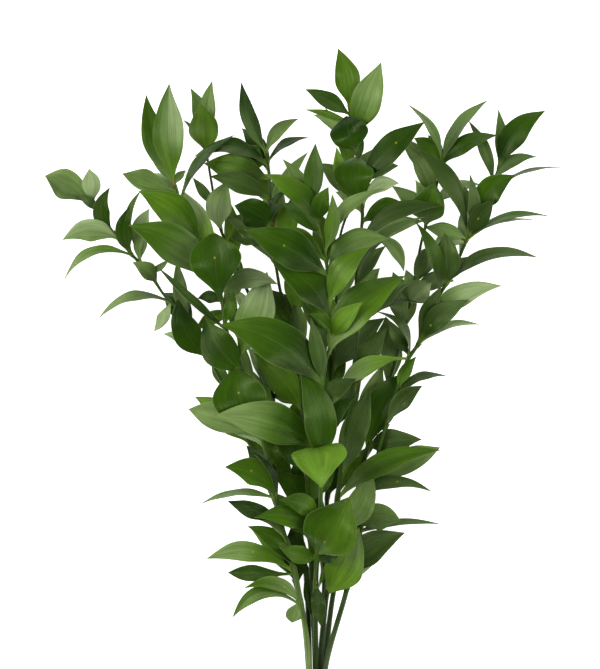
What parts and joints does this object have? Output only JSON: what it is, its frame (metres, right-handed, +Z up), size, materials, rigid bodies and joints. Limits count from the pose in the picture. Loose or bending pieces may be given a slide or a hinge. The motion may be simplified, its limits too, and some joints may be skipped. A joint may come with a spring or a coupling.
{
  "type": "bunch of leafy ruscus stems",
  "caption": "Fan-shaped bunch of fresh leafy ruscus branches lying down, with pointed glossy green leaves along slender stems that gather at the cut ends.",
  "frame": {"origin": "centre of the bounding box in X and Y, on the surface that the bunch lies on", "axes": "+Z up from the surface, +Y from the cut ends towards the tips, +X to the right seen from above with the tips away from the viewer"},
  "size_m": [0.441, 0.6001, 0.1155],
  "materials": {
    "leaf": "fresh leaf tissue, deep to lime green, satin, finely veined along its length",
    "stem": "green ribbed stem, satin, with small brown scars"
  },
  "bodies": {
    "root": {"stem_front": "leaf", "stem_left": "leaf", "stem_crown": "leaf", "stem_far_right": "leaf", "stem_right": "leaf", "stem_middle": "leaf", "stem_far_left": "leaf", "stem_back_left": "leaf", "stem_back": "leaf"}
  },
  "joints": []
}
